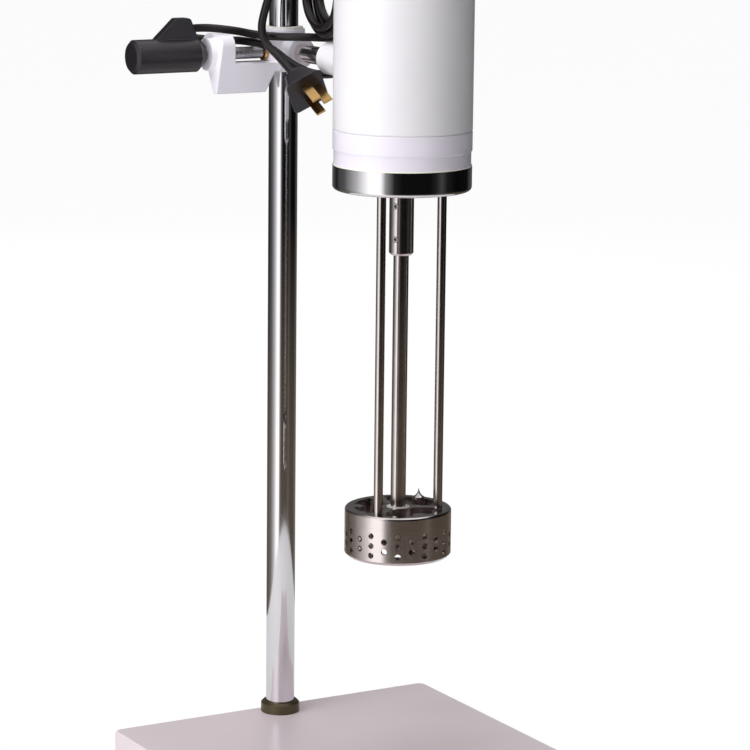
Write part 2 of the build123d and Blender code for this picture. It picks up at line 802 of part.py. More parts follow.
with BuildPart() as coupling:
    with BuildSketch(motor_plane(coupling_z)):
        Circle(coupling_radius)
        Circle(shaft_radius + seat_gap, mode=Mode.SUBTRACT)
    extrude(amount=coupling_length)
    chamfer(coupling.faces().sort_by(Axis.Z)[0].outer_wire().edges(), length=1.5)
    chamfer(coupling.faces().sort_by(Axis.Z)[-1].outer_wire().edges(), length=0.6)
    for level in (coupling_z + coupling_length / 4, coupling_top - coupling_length / 4):
        with BuildSketch(radial_plane(rod_angles[1], shaft_radius, level)):
            Circle(grub_radius * 0.8 + seat_gap)
        extrude(amount=coupling_radius, mode=Mode.SUBTRACT)
save(coupling, "coupling")

with BuildPart() as coupling_screws:
    for level in (coupling_z + coupling_length / 4, coupling_top - coupling_length / 4):
        with BuildSketch(radial_plane(rod_angles[1], shaft_radius + seat_gap, level)):
            Circle(grub_radius * 0.8)
        extrude(amount=coupling_radius - shaft_radius - 2 * seat_gap)
save(coupling_screws, "coupling_screws")

# ---------------------------------------------------------------- mixing head
row_drops = [hole_top_drop + k * hole_pitch for k in range(3)]
row_step = hole_pitch / 2
cage_bore = head_radius - cage_wall
blade_radius = cage_bore - rotor_gap
rotor_z = cage_z + cage_flange + body_gap + 2
rotor_top = rotor_z + rotor_height
shaft_end = rotor_z - nut_height
lug_bore = lug_screw_radius + seat_gap

with BuildPart() as support_rods:
    with BuildSketch(motor_plane(holder_top - rod_seat + seat_gap)):
        with PolarLocations(rod_circle, rod_count, start_angle=rod_angles[0]):
            Circle(rod_radius)
    extrude(amount=flange_z + rod_socket - holder_top + rod_seat - 2 * seat_gap)
save(support_rods, "support_rods")

with BuildPart() as stator_holder:
    with BuildSketch(motor_plane(shoulder_z + seat_gap)):
        Circle(head_radius)
        Circle(head_radius - holder_wall, mode=Mode.SUBTRACT)
    extrude(amount=holder_height - seat_gap)
    fillet(stator_holder.faces().sort_by(Axis.Z)[-1].outer_wire().edges(), radius=holder_round)
    with BuildSketch(motor_plane(shoulder_z + seat_gap)):
        with PolarLocations(rod_circle, rod_count, start_angle=rod_angles[0]):
            Circle(rod_boss_radius)
        with PolarLocations(lug_circle, rod_count, start_angle=lug_angles[0]):
            Circle(lug_radius)
        with PolarLocations(rod_circle / 2, rod_count, start_angle=rod_angles[0]):
            Rectangle(rod_circle, spoke_width)
        Circle(hub_radius)
        Circle(bush_radius + seat_gap, mode=Mode.SUBTRACT)
    extrude(amount=holder_height - seat_gap)
    with BuildSketch(motor_plane(holder_top)):
        with PolarLocations(rod_circle, rod_count, start_angle=rod_angles[0]):
            Circle(rod_radius + seat_gap)
    extrude(amount=-rod_seat, mode=Mode.SUBTRACT)
    with BuildSketch(motor_plane(shoulder_z)):
        with PolarLocations(lug_circle, rod_count, start_angle=lug_angles[0]):
            Circle(lug_bore)
    extrude(amount=holder_height * 0.75, mode=Mode.SUBTRACT)
save(stator_holder, "stator_holder")

with BuildPart() as rim_stud:
    with BuildSketch(Plane(radial_plane(lug_angles[0], lug_circle, holder_top + seat_gap).origin,
                           x_dir=(1, 0, 0), z_dir=(0, -1, 0))):
        with BuildLine():
            Polyline((0, 0), (stud_radius, 0), (stud_radius, 1))
            ThreePointArc((stud_radius, 1), (stud_radius / 3, stud_height / 2), (0.3, stud_height))
            Polyline((0.3, stud_height), (0, stud_height), (0, 0))
        make_face()
    revolve(axis=Axis(radial_plane(lug_angles[0], lug_circle, holder_top).origin, (0, 0, 1)))
save(rim_stud, "rim_stud")

with BuildPart() as shaft_bush:
    with BuildSketch(motor_plane(shoulder_z + seat_gap)):
        Circle(bush_radius)
        Circle(shaft_radius + running_fit, mode=Mode.SUBTRACT)
    extrude(amount=holder_height - seat_gap)
save(shaft_bush, "shaft_bush")

with BuildPart() as stator_cage:
    with BuildSketch(motor_plane(cage_z)):
        Circle(head_radius)
    extrude(amount=cage_height)
    chamfer(stator_cage.faces().sort_by(Axis.Z)[0].edges(), length=cage_chamfer)
    with BuildSketch(motor_plane(cage_z)):
        Circle(cage_bore)
    extrude(amount=cage_height, mode=Mode.SUBTRACT)
    for column_index in range(hole_columns):
        staggered = column_index % 2
        drops = [drop + row_step * staggered for drop in row_drops[: 3 - staggered]]
        hole_angle = column_index * 360 / hole_columns
        for drop in drops:
            with BuildSketch(radial_plane(hole_angle, cage_bore - cage_wall, shoulder_z - drop)):
                Circle(hole_radius)
            extrude(amount=3 * cage_wall, mode=Mode.SUBTRACT)
save(stator_cage, "stator_cage")

with BuildPart() as cage_ring:
    with BuildSketch(motor_plane(shoulder_z - cage_flange)):
        Circle(cage_bore - seat_gap)
        Circle(lug_circle - lug_radius, mode=Mode.SUBTRACT)
        with PolarLocations(lug_circle, rod_count, start_angle=lug_angles[0]):
            Circle(lug_bore, mode=Mode.SUBTRACT)
    extrude(amount=cage_flange)
save(cage_ring, "cage_ring")

with BuildPart() as suction_plate:
    with BuildSketch(motor_plane(cage_z)):
        Circle(cage_bore - seat_gap)
        Circle(cage_inlet, mode=Mode.SUBTRACT)
    extrude(amount=cage_flange)
save(suction_plate, "suction_plate")

with BuildPart() as cage_screws:
    for angle in lug_angles:
        seat = Plane(radial_plane(angle, lug_circle, shoulder_z - cage_flange).origin)
        with BuildSketch(seat):
            Circle(lug_screw_radius)
        extrude(amount=cage_flange + holder_height * 0.7)
        with BuildSketch(seat):
            Circle(lug_screw_radius * 1.8)
        extrude(amount=-lug_screw_radius)
save(cage_screws, "cage_screws")

with BuildPart() as mixer_shaft:
    with BuildSketch(motor_plane(shaft_end)):
        Circle(shaft_radius * 0.7)
    extrude(amount=nut_height + rotor_height + seat_gap)
    with BuildSketch(motor_plane(rotor_top + seat_gap)):
        Circle(shaft_radius)
    extrude(amount=coupling_top - coupling_length / 2 - 1 - rotor_top)
save(mixer_shaft, "mixer_shaft")

blade_end = blade_radius - blade_thick / 2
blade_line = ThreePointArc(
    (rotor_hub_radius - blade_thick, 0),
    (blade_end * 0.6, -blade_end * 0.15),
    (blade_end * math.cos(blade_sweep), blade_end * math.sin(blade_sweep)),
)

with BuildPart() as rotor:
    with BuildSketch(motor_plane(rotor_z)):
        Circle(rotor_hub_radius)
        with PolarLocations(0, rotor_blades):
            SlotArc(blade_line, blade_thick)
    extrude(amount=rotor_height)
    with BuildSketch(motor_plane(rotor_z)):
        Circle(shaft_radius * 0.7 + seat_gap)
    extrude(amount=rotor_height, mode=Mode.SUBTRACT)
save(rotor, "rotor")

with BuildPart() as rotor_nut:
    with BuildSketch(motor_plane(shaft_end)):
        RegularPolygon(nut_radius, side_count=6)
        Circle(shaft_radius * 0.7 + seat_gap, mode=Mode.SUBTRACT)
    extrude(amount=nut_height - seat_gap)
save(rotor_nut, "rotor_nut")

# ---------------------------------------------------------------- mains lead
def lead_point(x, y, z):
    """A point of the lead, from where the locking screw's axis crosses the column's."""
    return Vector(x, column_y + y, clamp_z + z)


def corner_radii(points):
    """The bend radius at each corner of a route: as large as its two runs allow."""
    radii = []
    for before, corner, after in zip(points, points[1:], points[2:]):
        shorter = min((corner - before).length, (after - corner).length)
        half_turn = math.radians((corner - before).get_angle(after - corner) / 2)
        radii.append(0.45 * shorter / math.tan(half_turn))
    return radii


def sweep_lead(points, name):
    """A round tube of straight runs joined by tangent arcs."""
    radii = corner_radii(points)
    print(name, "radii", [round(radius, 1) for radius in radii])
    start = Plane(origin=points[0], z_dir=points[1] - points[0])
    with BuildPart() as lead:
        with BuildLine() as route:
            FilletPolyline(*points, radius=radii)
        with BuildSketch(start):
            Circle(cord_radius)
        sweep()
    length = route.wire().length
    ratio = lead.part.volume / (math.pi * cord_radius**2 * length)
    print(name, "length", round(length, 1), "volume ratio", round(ratio, 4))
    save(lead, name)


boot_plane = radial_plane(boot_angle, motor_radius + seat_gap, boot_z)
boot_out = boot_plane.z_dir
boot_tip = boot_plane.origin + boot_out * (boot_flange_thick + boot_length)
first_run = 22.0

with BuildPart() as strain_relief:
    with BuildSketch(radial_plane(boot_angle, motor_radius - housing_wall, boot_z)):
        Circle(boot_flange_radius)
    extrude(amount=housing_wall + seat_gap + boot_flange_thick)
    with BuildSketch(motor_plane(body_z)):
        Circle(motor_radius + seat_gap)
    extrude(amount=body_height, mode=Mode.SUBTRACT)
    with BuildSketch(boot_plane.offset(boot_flange_thick)):
        Circle(boot_root_radius)
    with BuildSketch(boot_plane.offset(boot_flange_thick + boot_length)):
        Circle(boot_tip_radius)
    loft()
    with BuildSketch(radial_plane(boot_angle, motor_radius - housing_wall, boot_z)):
        Circle(boot_bore)
    extrude(amount=housing_wall + boot_flange_thick)
save(strain_relief, "strain_relief")

hank_bottom = arm_rise + bracket_boss_radius + body_gap + hank_radius
hank_low = hank_bottom + hank_half_width
hank_high = hank_low + hank_straight
hank_far = -hank_reach - hank_half_width
hank_near = -hank_reach + hank_half_width

sweep_lead(
    [
        boot_tip,
        boot_tip + boot_out * first_run,
        lead_point(31, -60, 27),
        lead_point(16, -50, 12),
        lead_point(-2, -41, 13),
        lead_point(-18, -28, 12.5),
        lead_point(-28, -10, 13),
        lead_point(-30, 14, 14),
        lead_point(-45, 38, 15),
        lead_point(-52, 62, 10),
        lead_point(-40, 82, 5),
        lead_point(-18, 84, 2),
        lead_point(-4, 66, 2),
        lead_point(-9, 43, 4),
        lead_point(-24, 27, 6),
        lead_point(-27, 3, 7.5),
        lead_point(-22, -19, 6.5),
        lead_point(-13, -38, -6),
        lead_point(-2, -52, -12),
        lead_point(14, -65, -9),
        lead_point(25, -78, 6),
        lead_point(18, -86, 32),
        lead_point(3, hank_far, 52),
    ],
    "cord_from_motor",
)

with BuildPart() as cord_hank:
    with BuildLine(side_plane(0, clamp_z)):
        Line((hank_near, hank_low), (hank_near, hank_high))
        ThreePointArc(
            (hank_near, hank_high),
            (-hank_reach, hank_high + hank_half_width),
            (hank_far, hank_high),
        )
        Line((hank_far, hank_high), (hank_far, hank_low))
        ThreePointArc(
            (hank_far, hank_low),
            (-hank_reach, hank_bottom),
            (hank_near, hank_low),
        )
    with BuildSketch(Plane(lead_point(0, hank_near, hank_low))):
        Circle(hank_radius)
    sweep()
save(cord_hank, "cord_hank")

with BuildPart() as cord_tie:
    with BuildSketch(Plane(lead_point(0, hank_near, hank_low + hank_straight / 4))):
        Circle(hank_radius + seat_gap + tie_thick)
        Circle(hank_radius + seat_gap, mode=Mode.SUBTRACT)
    extrude(amount=tie_width)
save(cord_tie, "cord_tie")

plug_out = Vector(0.036, -0.878, -0.478)
plug_side = Vector(-0.859, 0.217, -0.464)
plug_neck_point = lead_point(-21, -52, -9.5)
last_run = 17.0

sweep_lead(
    [
        lead_point(-3, hank_near, 88),
        lead_point(-18, -36, 78),
        lead_point(-25, -31, 58),
        lead_point(-28, -27, 35),
        lead_point(-32, -25, 13),
        plug_neck_point - plug_out * last_run,
        plug_neck_point,
    ],
    "cord_to_plug",
)

plug_plane = Plane(origin=plug_neck_point, x_dir=plug_side, z_dir=plug_out)
with BuildPart() as plug:
    with BuildSketch(plug_plane):
        Circle(boot_tip_radius)
    with BuildSketch(plug_plane.offset(plug_neck)):
        RectangleRounded(plug_neck_width, plug_neck_thick, plug_round)
    loft()
    with BuildSketch(plug_plane.offset(plug_neck)):
        RectangleRounded(plug_neck_width, plug_neck_thick, plug_round)
    with BuildSketch(plug_plane.offset(plug_length)):
        RectangleRounded(plug_width, plug_thick, plug_round)
    loft()
save(plug, "plug")

with BuildPart() as plug_pins:
    with BuildSketch(plug_plane.offset(plug_length)):
        with Locations((0, -pin_spread / 2), (0, pin_spread / 2), (-pin_offset, 0)):
            Rectangle(pin_width, pin_thick)
    extrude(amount=pin_length)
save(plug_pins, "plug_pins")
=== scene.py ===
import bpy
import bmesh
import json
import math
from mathutils import Matrix, Vector


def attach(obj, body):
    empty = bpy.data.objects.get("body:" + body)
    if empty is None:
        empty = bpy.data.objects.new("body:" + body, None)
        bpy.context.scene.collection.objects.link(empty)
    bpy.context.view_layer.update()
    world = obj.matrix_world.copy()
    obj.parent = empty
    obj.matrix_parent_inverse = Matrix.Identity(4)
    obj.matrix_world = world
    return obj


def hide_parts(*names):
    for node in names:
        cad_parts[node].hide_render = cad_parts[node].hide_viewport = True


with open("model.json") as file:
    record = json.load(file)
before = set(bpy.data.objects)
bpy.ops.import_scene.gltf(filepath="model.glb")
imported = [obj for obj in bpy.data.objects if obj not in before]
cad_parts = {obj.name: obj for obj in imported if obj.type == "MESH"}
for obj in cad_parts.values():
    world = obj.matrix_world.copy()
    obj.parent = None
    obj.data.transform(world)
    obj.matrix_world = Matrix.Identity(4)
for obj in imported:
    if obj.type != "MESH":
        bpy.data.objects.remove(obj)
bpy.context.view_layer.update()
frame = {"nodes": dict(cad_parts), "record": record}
nodes = frame["nodes"]
scene = bpy.context.scene
scene.view_settings.view_transform = "Standard"

# places fixed by the CAD, in metres
column_y = 0.162
clamp_z = 0.4895
arm_z = clamp_z + 0.001
flange_z = 0.4175
band_z = 0.4305
cap_top = 0.6315
boot_root = 0.04505
boot_reach = 0.07005
boot_z = clamp_z + 0.0445
set_screw_bearing = 210
set_screw_levels = (0.38275, 0.40425)
arm_screw_places = (0.1415, 0.079)
flange_screw_bearings = (30, 150, 270)
flange_screw_circle = 0.026
cord_diameter = 0.0055
camera_place = Vector((-1.03437, -1.76361, 0.69183))
up = Vector((0, 0, 1))
down = Vector((0, 0, -1))


def linear(*rgb):
    """An sRGB colour, 0 to 255, as linear values with alpha."""
    out = []
    for value in rgb:
        c = value / 255
        out.append(c / 12.92 if c <= 0.04045 else ((c + 0.055) / 1.055) ** 2.4)
    return (*out, 1.0)


def link(obj):
    scene.collection.objects.link(obj)
    return obj


# ---------------------------------------------------------------- camera
def set_camera():
    """The camera solved from the photo. Its focal length is 3200 pixels of a picture 750 wide."""
    azimuth, pitch, roll = -0.5226, 0.1929, 0.0110
    level = Vector((-math.sin(azimuth), math.cos(azimuth), 0))
    forward = level * math.cos(pitch) - up * math.sin(pitch)
    right = Vector((math.cos(azimuth), math.sin(azimuth), 0))
    above = right.cross(forward)
    turned_right = right * math.cos(roll) + above * math.sin(roll)
    turned_up = above * math.cos(roll) - right * math.sin(roll)
    data = bpy.data.cameras.new("camera")
    data.sensor_width = 36
    data.lens = data.sensor_width * 3200 / 750
    data.clip_start = 0.05
    data.clip_end = 60
    camera = link(bpy.data.objects.new("camera", data))
    turn = Matrix((turned_right, turned_up, -forward)).transposed().to_4x4()
    camera.matrix_world = Matrix.Translation(camera_place) @ turn
    scene.camera = camera


set_camera()


# ---------------------------------------------------------------- lead
def lead_point(x, y, z):
    """A point of the lead, in metres, from the crossing of the locking screw's axis and the column's."""
    return Vector((x / 1000, column_y + y / 1000, clamp_z + z / 1000))


boot_angle = math.radians(70)
boot_out = Vector((math.cos(boot_angle), math.sin(boot_angle), 0))
boot_tip = boot_out * boot_reach + up * boot_z
# the hank, in millimetres from the same crossing: its middle, half its width, and the middles of its two bends
hank_y = -62.0
hank_half = 22.0
hank_low = 42.3
hank_high = 102.3
hank_steps = 18
plug_out = Vector((0.036, -0.878, -0.478))
plug_neck = lead_point(-21, -52, -9.5)
from_motor = [
    boot_tip,
    boot_tip + boot_out * 0.022,
    lead_point(31, -60, 27),
    lead_point(16, -50, 12),
    lead_point(-2, -41, 13),
    lead_point(-18, -28, 12.5),
    lead_point(-28, -10, 13),
    lead_point(-30, 14, 14),
    lead_point(-45, 38, 15),
    lead_point(-52, 62, 10),
    lead_point(-40, 82, 5),
    lead_point(-18, 84, 2),
    lead_point(-4, 66, 2),
    lead_point(-9, 43, 4),
    lead_point(-24, 27, 6),
    lead_point(-27, 3, 7.5),
    lead_point(-22, -19, 6.5),
    lead_point(-13, -38, -6),
    lead_point(-2, -52, -12),
    lead_point(14, -65, -9),
    lead_point(25, -78, 6),
    lead_point(18, -86, 32),
]
to_plug = [
    lead_point(-12, -38, 73),
    lead_point(-22, -33, 56),
    lead_point(-28, -27, 35),
    lead_point(-32, -25, 13),
    plug_neck - plug_out * 0.017,
    plug_neck,
]


def hank_turns(first, turns, strand_ring=4.85, strands=5):
    """Points of the turns: up the far side, over, down the near side, each strand beside the last."""
    straight = hank_high - hank_low
    arc = math.pi * hank_half
    around = 2 * straight + 2 * arc
    points = []
    count = int(round(turns * hank_steps))
    for k in range(count + 1):
        travel = first + turns * around * k / count
        s = travel % around
        if s < straight:
            place = (-1.0, 0.0, hank_low + s)
        elif s < straight + arc:
            a = (s - straight) / hank_half
            place = (-math.cos(a), math.sin(a), hank_high)
        elif s < 2 * straight + arc:
            place = (1.0, 0.0, hank_high - (s - straight - arc))
        else:
            a = (s - 2 * straight - arc) / hank_half
            place = (math.cos(a), -math.sin(a), hank_low)
        turn_angle = 2 * math.pi * (travel - first) / around / strands - math.pi / 2
        side = strand_ring * math.cos(turn_angle)
        reach = 1.035 * hank_half + strand_ring * math.sin(turn_angle)
        points.append(lead_point(side, hank_y + place[0] * reach, place[2] + place[1] * reach))
    return points


def round_curve(name, points, radius, resolution=12, section=6):
    """A round tube along one NURBS line."""
    data = bpy.data.curves.new(name, "CURVE")
    data.dimensions = "3D"
    data.bevel_depth = 1  # each point carries the radius, so the bound box stays true
    data.bevel_resolution = section
    data.resolution_u = resolution
    data.use_fill_caps = True
    spline = data.splines.new("NURBS")
    spline.points.add(len(points) - 1)
    for target, point in zip(spline.points, points):
        target.co = (*point, 1)
        target.radius = radius
    spline.order_u = 3
    spline.use_endpoint_u = True
    return link(bpy.data.objects.new(name, data))


# the lead joins the hank at one height and leaves it, four turns on, at another
join_height = 62
leave_height = 88
around_hank = 2 * (hank_high - hank_low) + 2 * math.pi * hank_half
first_travel = join_height - hank_low
last_travel = (hank_high - hank_low) + math.pi * hank_half + (hank_high - leave_height)
turns = 4 + (last_travel - first_travel) / around_hank
lead = round_curve("mains_lead", from_motor + hank_turns(first_travel, turns) + to_plug, cord_diameter / 2)
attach(lead, "carriage")
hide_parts("cord_from_motor", "cord_hank", "cord_to_plug")


# ---------------------------------------------------------------- materials
def build_material(name, colour, roughness, metallic=0.0, specular=0.5, coat=0.0, coat_roughness=0.1,
                   shade=0.05, patch=30.0, rough_spread=0.08, grain=900.0, grain_height=0.00002,
                   stretch=(1, 1, 1), edge=None):
    """A procedural finish: patchy colour, uneven gloss, and fine grain stretched along the way it was made.

    An edge is (radius, colour): edges are rounded to that radius and take that colour, a painted highlight along
    the edges.
    """
    material = bpy.data.materials.new(name)
    material.use_nodes = True
    tree = material.node_tree
    new = tree.nodes.new
    wire = tree.links.new
    shader = tree.nodes["Principled BSDF"]
    shader.inputs["Metallic"].default_value = metallic
    shader.inputs["Specular IOR Level"].default_value = specular
    shader.inputs["Coat Weight"].default_value = coat
    shader.inputs["Coat Roughness"].default_value = coat_roughness
    place = new("ShaderNodeTexCoord")
    stretched = new("ShaderNodeMapping")
    stretched.inputs["Scale"].default_value = stretch
    wire(place.outputs["Object"], stretched.inputs["Vector"])

    patches = new("ShaderNodeTexNoise")
    patches.inputs["Scale"].default_value = patch
    patches.inputs["Detail"].default_value = 5
    patches.inputs["Roughness"].default_value = 0.55
    wire(place.outputs["Object"], patches.inputs["Vector"])
    ramp = new("ShaderNodeValToRGB")
    ramp.color_ramp.elements[0].position = 0.3
    ramp.color_ramp.elements[1].position = 0.7
    low = [c * (1 - shade) for c in colour[:3]]
    high = [min(1, c * (1 + shade)) for c in colour[:3]]
    ramp.color_ramp.elements[0].color = (*low, 1)
    ramp.color_ramp.elements[1].color = (*high, 1)
    wire(patches.outputs["Fac"], ramp.inputs["Fac"])
    colour_out = ramp.outputs["Color"]

    grains = new("ShaderNodeTexNoise")
    grains.inputs["Scale"].default_value = grain
    grains.inputs["Detail"].default_value = 3
    wire(stretched.outputs["Vector"], grains.inputs["Vector"])

    gloss = new("ShaderNodeMapRange")
    gloss.inputs["To Min"].default_value = max(0.02, roughness - rough_spread)
    gloss.inputs["To Max"].default_value = min(1.0, roughness + rough_spread)
    wire(patches.outputs["Fac"], gloss.inputs["Value"])
    wire(gloss.outputs["Result"], shader.inputs["Roughness"])

    # where the rounded normal turns away, the colour moves to the edge colour: a painted highlight along edges
    if edge:
        rounding = new("ShaderNodeBevel")
        rounding.samples = 6
        rounding.inputs["Radius"].default_value = edge[0]
        facing = new("ShaderNodeNewGeometry")
        match = new("ShaderNodeVectorMath")
        match.operation = "DOT_PRODUCT"
        wire(rounding.outputs["Normal"], match.inputs[0])
        wire(facing.outputs["Normal"], match.inputs[1])
        edge_highlight_amount = new("ShaderNodeMapRange")
        edge_highlight_amount.inputs["From Min"].default_value = 0.995
        edge_highlight_amount.inputs["From Max"].default_value = 0.86
        wire(match.outputs["Value"], edge_highlight_amount.inputs["Value"])
        mix = new("ShaderNodeMix")
        mix.data_type = "RGBA"
        mix.inputs["B"].default_value = edge[1]
        wire(edge_highlight_amount.outputs["Result"], mix.inputs["Factor"])
        wire(colour_out, mix.inputs["A"])
        colour_out = mix.outputs["Result"]
    wire(colour_out, shader.inputs["Base Color"])

    bump = new("ShaderNodeBump")
    bump.inputs["Strength"].default_value = 1.0
    bump.inputs["Distance"].default_value = grain_height
    wire(grains.outputs["Fac"], bump.inputs["Height"])
    if edge:
        wire(rounding.outputs["Normal"], bump.inputs["Normal"])
    wire(bump.outputs["Normal"], shader.inputs["Normal"])
    return material


# the edge colours given here are painted highlights along rounded edges
finishes = {
    "plate_paint": build_material("plate_paint", linear(233, 220, 226), 0.30, shade=0.02, patch=9, coat=0.25,
                                  coat_roughness=0.12, grain=700, grain_height=0.00001,
                                  edge=(0.0009, linear(240, 232, 236))),
    "white_paint": build_material("white_paint", linear(240, 238, 242), 0.36, shade=0.015, patch=24, coat=0.3,
                                  coat_roughness=0.16, grain=600, grain_height=0.000012,
                                  edge=(0.0006, linear(246, 245, 247))),
    "chrome": build_material("chrome", linear(236, 234, 238), 0.07, metallic=1, shade=0.02, patch=14,
                             rough_spread=0.03, grain=260, grain_height=0.000003),
    "satin_steel": build_material("satin_steel", linear(226, 217, 216), 0.17, metallic=1, shade=0.04, patch=60,
                                  rough_spread=0.05, grain=500, grain_height=0.000008, stretch=(0.05, 0.05, 6)),
    "plain_steel": build_material("plain_steel", linear(184, 182, 184), 0.34, metallic=1, shade=0.07, patch=80,
                                  grain=900, grain_height=0.00001),
    "cast_alloy": build_material("cast_alloy", linear(206, 206, 208), 0.42, metallic=1, shade=0.05, patch=70,
                                 grain=700, grain_height=0.00002),
    "dark_plastic": build_material("dark_plastic", linear(30, 26, 31), 0.32, shade=0.1, patch=40, specular=0.6,
                                   grain=1500, grain_height=0.00003, edge=(0.0007, linear(74, 69, 76))),
    "black_rubber": build_material("black_rubber", linear(34, 32, 34), 0.62, shade=0.12, patch=60, specular=0.35,
                                   grain=1200, grain_height=0.00004),
    "black_pvc": build_material("black_pvc", linear(22, 18, 19), 0.3, shade=0.12, patch=45, specular=0.5,
                                grain=900, grain_height=0.00003),
    "white_plastic": build_material("white_plastic", linear(226, 224, 220), 0.45, shade=0.03, patch=50, grain=900),
    "brass": build_material("brass", linear(198, 160, 104), 0.24, metallic=1, shade=0.08, patch=90, grain=800),
    "copper": build_material("copper", linear(178, 108, 70), 0.34, metallic=1, shade=0.12, patch=120,
                             grain=300, grain_height=0.00012, stretch=(1, 1, 8)),
    "collar_bronze": build_material("collar_bronze", linear(96, 88, 66), 0.38, metallic=0.7, shade=0.12, patch=50,
                                    grain=700, grain_height=0.00002),
    "clamp_paint": build_material("clamp_paint", linear(240, 236, 246), 0.4, shade=0.02, patch=30, coat=0.25,
                                  coat_roughness=0.2, grain=420, grain_height=0.00003,
                                  edge=(0.0012, linear(250, 249, 251))),
    "band_paint": build_material("band_paint", linear(240, 234, 246), 0.3, shade=0.02, patch=40, coat=0.3,
                                 coat_roughness=0.15, grain=420, grain_height=0.00002,
                                 edge=(0.0012, linear(250, 249, 251))),
    # near-white and glossy: a painted highlight for the thin bead at the band's edge
    "rim_painted_highlight": build_material("rim_painted_highlight", linear(252, 249, 236), 0.2, shade=0.02, patch=50, coat=0.5),
    "carbon": build_material("carbon", linear(40, 40, 42), 0.5, shade=0.12, patch=90, grain=1200),
}
# nodes painted apart from the rest of their slot
special = {"foot_collar": "collar_bronze", "clamp_body": "clamp_paint", "lower_housing": "band_paint"}
for row in frame["record"]["subparts"]:
    mesh = nodes[row["node"]].data
    mesh.materials.clear()
    mesh.materials.append(finishes[special.get(row["node"], row["material_slot"])])
lead.data.materials.append(finishes["black_pvc"])


# ---------------------------------------------------------------- fitted details
def axes_of(axis):
    """Two directions square to an axis and to each other."""
    axis = axis.normalized()
    first = axis.orthogonal().normalized()
    return first, axis.cross(first)


def add_turned(bm, base, axis, rings, sides=24):
    """A closed form from rings along an axis. Each ring is (offset, radius, six-sided)."""
    axis = axis.normalized()
    first, second = axes_of(axis)
    loops = []
    for offset, radius, hexagon in rings:
        loop = []
        for k in range(sides):
            a = 2 * math.pi * k / sides
            reach = radius
            if hexagon:
                off_flat = (a + math.pi / 6) % (math.pi / 3) - math.pi / 6
                reach = radius * math.cos(math.pi / 6) / math.cos(off_flat)
            spot = base + axis * offset + (first * math.cos(a) + second * math.sin(a)) * reach
            loop.append(bm.verts.new(spot))
        loops.append(loop)
    for low, high in zip(loops, loops[1:]):
        for k in range(sides):
            bm.faces.new((low[k], low[(k + 1) % sides], high[(k + 1) % sides], high[k]))
    bm.faces.new(list(reversed(loops[0])))
    bm.faces.new(loops[-1])


def add_bead(bm, centre, axis, major, minor, around=64, section=10):
    """A round bead bent into a circle."""
    axis = axis.normalized()
    first, second = axes_of(axis)
    grid = []
    for k in range(around):
        a = 2 * math.pi * k / around
        out = first * math.cos(a) + second * math.sin(a)
        row = []
        for j in range(section):
            b = 2 * math.pi * j / section
            spot = centre + out * (major + minor * math.cos(b)) + axis * minor * math.sin(b)
            row.append(bm.verts.new(spot))
        grid.append(row)
    for k in range(around):
        for j in range(section):
            bm.faces.new((grid[k][j], grid[(k + 1) % around][j],
                          grid[(k + 1) % around][(j + 1) % section], grid[k][(j + 1) % section]))


def add_bar(bm, start, end, rise, width, height, bevel):
    """A raised bar with bevelled long edges, lying from start to end and standing up along rise."""
    along = (end - start).normalized()
    side = along.cross(rise).normalized()
    half = width / 2
    profile = [(-half, 0), (half, 0), (half, height - bevel), (half - bevel, height),
               (bevel - half, height), (-half, height - bevel)]
    loops = []
    for place in (start, end):
        loops.append([bm.verts.new(place + side * x + rise * y) for x, y in profile])
    count = len(profile)
    for k in range(count):
        bm.faces.new((loops[0][k], loops[0][(k + 1) % count], loops[1][(k + 1) % count], loops[1][k]))
    bm.faces.new(list(reversed(loops[0])))
    bm.faces.new(loops[1])


def mesh_piece(name, bm, body, slot, replaced=(), finish=None):
    """A shown piece from a finished mesh, on a body, with its slot's finish unless another is named."""
    bmesh.ops.recalc_face_normals(bm, faces=bm.faces)
    mesh = bpy.data.meshes.new(name)
    bm.to_mesh(mesh)
    bm.free()
    for face in mesh.polygons:
        face.use_smooth = True
    mesh.set_sharp_from_angle(angle=math.radians(35))
    mesh.materials.append(finishes[finish or slot])
    piece = link(bpy.data.objects.new(name, mesh))
    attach(piece, body)
    if replaced:
        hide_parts(*replaced)
    return piece


def socket_screw(bm, base, axis, radius, length, socket, depth):
    """A screw end with a chamfer and a hexagon socket. Length runs from base to the end face."""
    bevel = radius * 0.12
    add_turned(bm, base, axis, [
        (0, radius, False), (length - bevel, radius, False), (length, radius - bevel, False),
        (length, socket * 1.12, False), (length - socket * 0.1, socket, True), (length - depth, socket, True),
    ])


def outward(degrees):
    """A level direction at a bearing from +X towards +Y."""
    a = math.radians(degrees)
    return Vector((math.cos(a), math.sin(a), 0))


bm = bmesh.new()
set_out = outward(set_screw_bearing)
for level in set_screw_levels:
    socket_screw(bm, set_out * 0.00505 + up * level, set_out, 0.002, 0.00288, 0.0011, 0.0014)
mesh_piece("coupling_set_screws", bm, "spindle", "plain_steel", ["coupling_screws"])

bm = bmesh.new()
for place in arm_screw_places:
    socket_screw(bm, Vector((0, place, arm_z - 0.00605)), down, 0.0025, 0.004, 0.0014, 0.002)
mesh_piece("arm_set_screws", bm, "carriage", "plain_steel", ["arm_grub_screws"])

bm = bmesh.new()
for bearing in flange_screw_bearings:
    spot = outward(bearing) * flange_screw_circle + up * flange_z
    add_turned(bm, spot, up, [(-0.00001, 0.0025, False), (0.01595, 0.0025, False)])
    socket_screw(bm, spot, down, 0.0045, 0.0025, 0.0023, 0.0015)
mesh_piece("flange_cap_screws", bm, "carriage", "plain_steel", ["flange_screws"])

